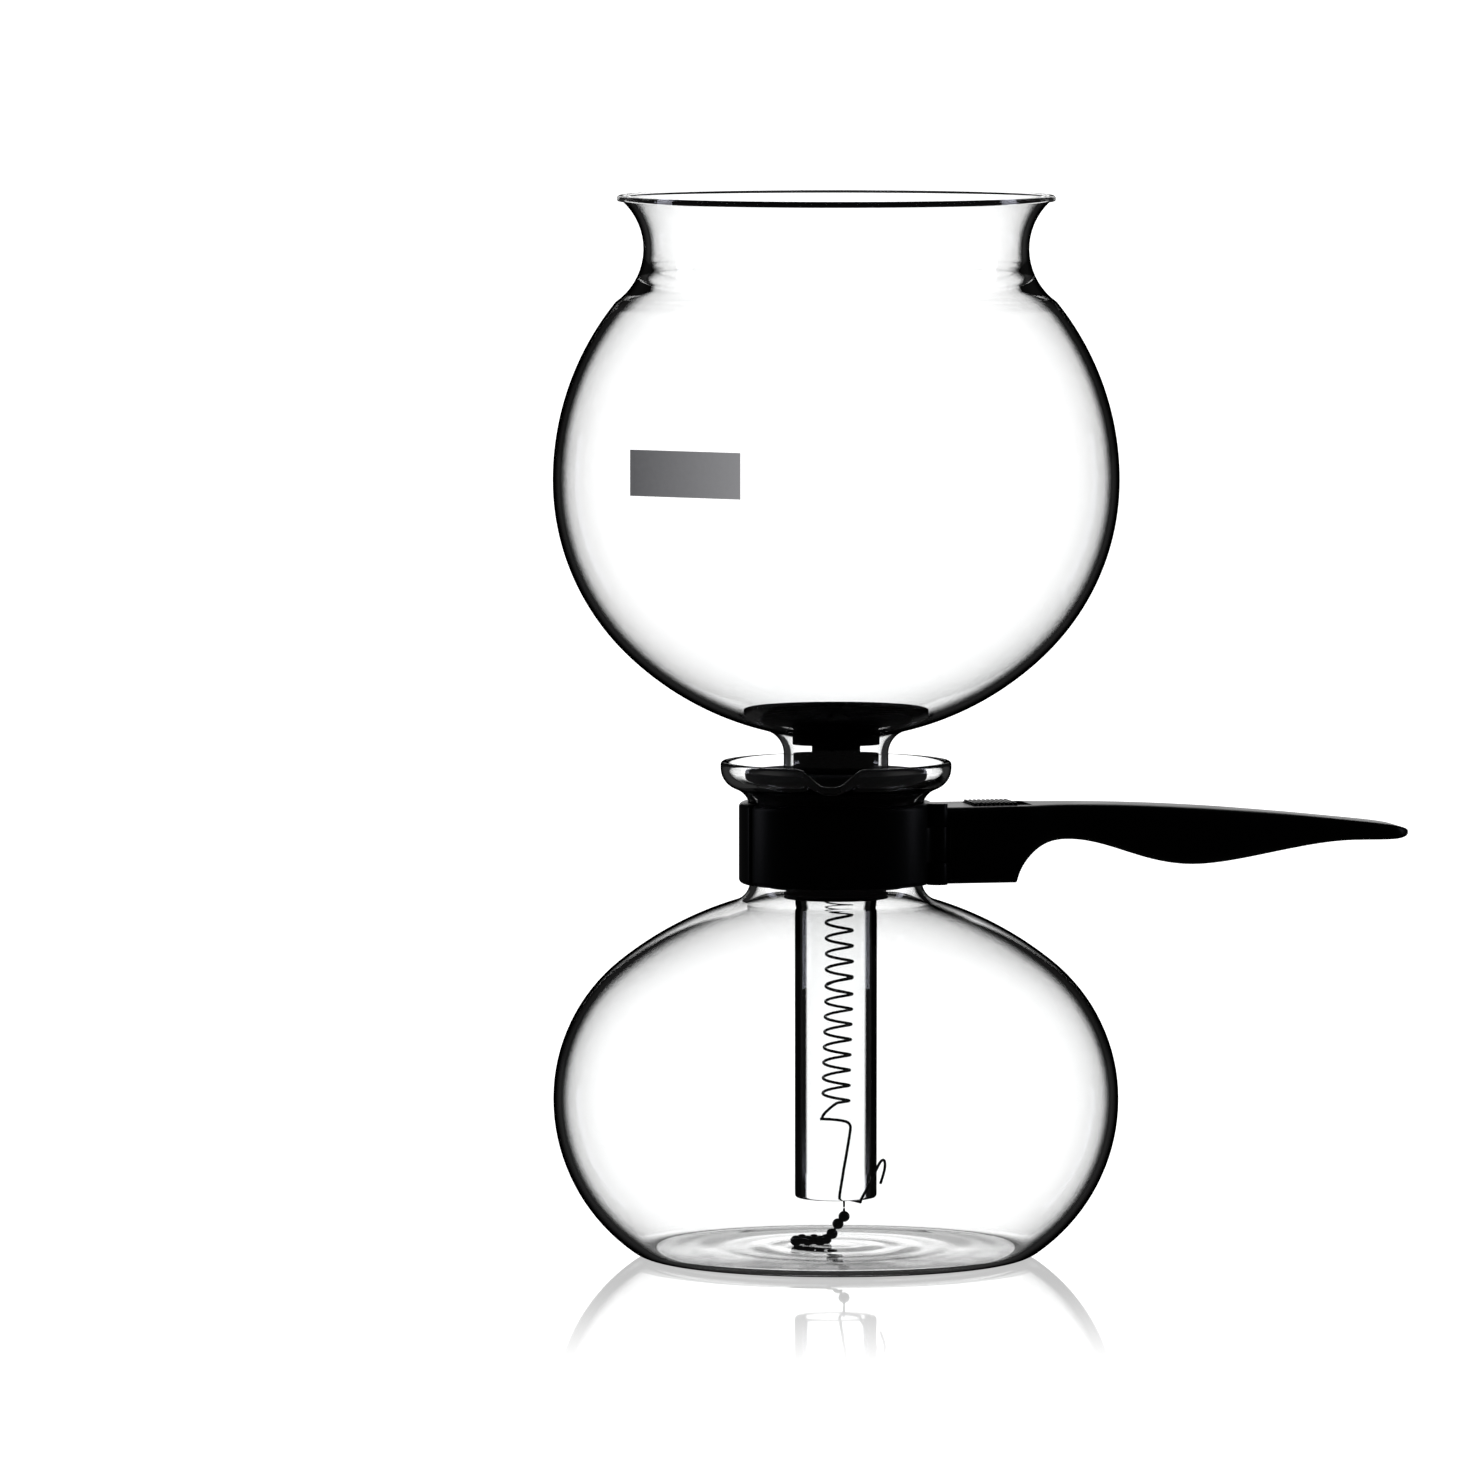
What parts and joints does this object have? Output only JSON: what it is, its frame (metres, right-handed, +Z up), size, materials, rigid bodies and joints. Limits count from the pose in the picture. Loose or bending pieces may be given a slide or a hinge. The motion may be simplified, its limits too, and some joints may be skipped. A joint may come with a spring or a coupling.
{
  "type": "siphon coffee maker",
  "caption": "Stove-top siphon coffee maker: round glass carafe with clamped handle, glass funnel bowl with stem and gasket, spring-held filter with hook and bead chain",
  "frame": {"origin": "centre of the carafe's flat base, on the surface it stands on", "axes": "+Z up along the glass axis, +X out along the handle, +Y to the far side from the clasp's opening"},
  "size_m": [0.2531, 0.1642, 0.3094],
  "materials": {
    "clear_glass": "clear gloss",
    "black_rubber": "matte",
    "filter_plastic": "satin",
    "handle_plastic": "satin",
    "spring_wire": "bright drawn wire",
    "bead_chrome": "polished",
    "screen_steel": "satin"
  },
  "bodies": {
    "base": {"carafe": "clear_glass", "handle_body": "handle_plastic", "clasp_pin": "screen_steel"},
    "funnel": {"funnel_bowl": "clear_glass", "siphon_tube": "clear_glass", "funnel_gasket": "black_rubber", "filter_hook": "spring_wire", "chain_ring": "bead_chrome", "chain_beads": "bead_chrome", "chain_pins": "bead_chrome"},
    "filter": {"filter_cap": "filter_plastic", "filter_screen": "screen_steel", "filter_base": "filter_plastic", "filter_post": "filter_plastic", "filter_guide": "filter_plastic", "filter_spring": "spring_wire"},
    "clasp": {"front_clasp": "handle_plastic"},
    "slide": {"thumb_slide": "handle_plastic"}
  },
  "joints": [
    {"name": "funnel_lift", "type": "slide", "parent": "base", "child": "funnel", "axis": [0, 0, 1], "range_m": [0, 0.15]},
    {"name": "filter_lift", "type": "slide", "parent": "funnel", "child": "filter", "axis": [0, 0, 1], "range_m": [0, 0.02], "stiffness_N_per_m": 60, "springref_m": -0.01, "deforming": ["filter_spring"]},
    {"name": "clasp_swing", "type": "hinge", "parent": "base", "child": "clasp", "pos_m": [0.0274, -0.012, 0.1208], "axis": [0, 0, 1], "range_deg": [0, 40]},
    {"name": "slide_pull", "type": "slide", "parent": "base", "child": "slide", "axis": [1, 0, 0], "range_m": [0, 0.004]}
  ],
  "couplings": [
    {"joint": "slide_pull", "follows": "clasp_swing", "m_per_rad": 0.0057296}
  ]
}
